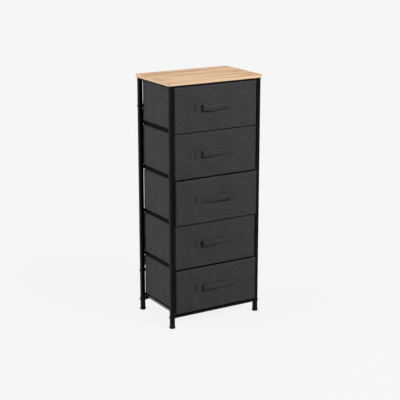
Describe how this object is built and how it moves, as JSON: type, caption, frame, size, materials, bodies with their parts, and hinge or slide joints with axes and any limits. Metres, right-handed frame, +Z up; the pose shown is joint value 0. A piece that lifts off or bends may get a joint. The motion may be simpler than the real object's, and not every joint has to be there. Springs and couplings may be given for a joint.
{
  "type": "fabric drawer dresser",
  "caption": "Tall, narrow dresser with sewn cloth drawers sliding on rails in a black steel tube frame, under a thin wood-look top.",
  "frame": {"origin": "on the floor, under the middle of the overall width and depth, pull straps included; the frame's own middle lies 10.5 mm behind it", "axes": "+X to the right as seen from the front, +Y to the back, +Z up; the drawers open towards -Y"},
  "size_m": [0.45, 0.311, 1.045],
  "materials": {
    "oak_laminate": "satin wood-grain laminate, light oak",
    "black_metal": "gloss black powder coat",
    "black_bolts": "black oxide",
    "zinc_steel": "zinc plated",
    "black_plastic": "moulded matte",
    "drawer_fabric": "charcoal non-woven linen-look cloth",
    "strap_fabric": "charcoal cloth, folded and stitched",
    "lining": "fibreboard covered in charcoal cloth",
    "fibreboard": "raw fibreboard"
  },
  "bodies": {
    "frame": {"top_board": "oak_laminate", "top_rail_front": "black_metal", "top_rail_rear": "black_metal", "top_rail_left": "black_metal", "top_rail_right": "black_metal", "leg_front_left": "black_metal", "leg_front_right": "black_metal", "leg_rear_left": "black_metal", "leg_rear_right": "black_metal", "crossbar_front": "black_metal", "crossbar_rear": "black_metal", "rear_bar_lower": "black_metal", "rear_bar_upper": "black_metal", "bar_end_nuts": "zinc_steel", "frame_bolts": "black_bolts", "board_screws": "black_bolts", "leg_inserts": "black_plastic", "runner_left_1": "black_metal", "runner_right_1": "black_metal", "runner_left_2": "black_metal", "runner_right_2": "black_metal", "runner_left_3": "black_metal", "runner_right_3": "black_metal", "runner_left_4": "black_metal", "runner_right_4": "black_metal", "runner_left_5": "black_metal", "runner_right_5": "black_metal"},
    "drawer_1": {"drawer_1_fabric_box": "drawer_fabric", "drawer_1_front_board": "fibreboard", "drawer_1_wall_liner": "lining", "drawer_1_base_board": "lining", "drawer_1_pull_strap": "strap_fabric"},
    "drawer_2": {"drawer_2_fabric_box": "drawer_fabric", "drawer_2_front_board": "fibreboard", "drawer_2_wall_liner": "lining", "drawer_2_base_board": "lining", "drawer_2_pull_strap": "strap_fabric"},
    "drawer_3": {"drawer_3_fabric_box": "drawer_fabric", "drawer_3_front_board": "fibreboard", "drawer_3_wall_liner": "lining", "drawer_3_base_board": "lining", "drawer_3_pull_strap": "strap_fabric"},
    "drawer_4": {"drawer_4_fabric_box": "drawer_fabric", "drawer_4_front_board": "fibreboard", "drawer_4_wall_liner": "lining", "drawer_4_base_board": "lining", "drawer_4_pull_strap": "strap_fabric"},
    "drawer_5": {"drawer_5_fabric_box": "drawer_fabric", "drawer_5_front_board": "fibreboard", "drawer_5_wall_liner": "lining", "drawer_5_base_board": "lining", "drawer_5_pull_strap": "strap_fabric"},
    "foot_front_left": {"levelling_foot_front_left": "black_plastic"},
    "foot_front_right": {"levelling_foot_front_right": "black_plastic"},
    "foot_rear_left": {"levelling_foot_rear_left": "black_plastic"},
    "foot_rear_right": {"levelling_foot_rear_right": "black_plastic"}
  },
  "joints": [
    {"name": "drawer_1_slide", "type": "slide", "parent": "frame", "child": "drawer_1", "axis": [0, -1, 0], "range_m": [0, 0.2]},
    {"name": "drawer_2_slide", "type": "slide", "parent": "frame", "child": "drawer_2", "axis": [0, -1, 0], "range_m": [0, 0.2]},
    {"name": "drawer_3_slide", "type": "slide", "parent": "frame", "child": "drawer_3", "axis": [0, -1, 0], "range_m": [-0.0085, 0.1915]},
    {"name": "drawer_4_slide", "type": "slide", "parent": "frame", "child": "drawer_4", "axis": [0, -1, 0], "range_m": [0, 0.2]},
    {"name": "drawer_5_slide", "type": "slide", "parent": "frame", "child": "drawer_5", "axis": [0, -1, 0], "range_m": [-0.0085, 0.1915]},
    {"name": "foot_front_left_screw", "type": "slide", "parent": "frame", "child": "foot_front_left", "axis": [0, 0, -1], "range_m": [0, 0.008]},
    {"name": "foot_front_right_screw", "type": "slide", "parent": "frame", "child": "foot_front_right", "axis": [0, 0, -1], "range_m": [0, 0.008]},
    {"name": "foot_rear_left_screw", "type": "slide", "parent": "frame", "child": "foot_rear_left", "axis": [0, 0, -1], "range_m": [0, 0.008]},
    {"name": "foot_rear_right_screw", "type": "slide", "parent": "frame", "child": "foot_rear_right", "axis": [0, 0, -1], "range_m": [0, 0.008]}
  ]
}
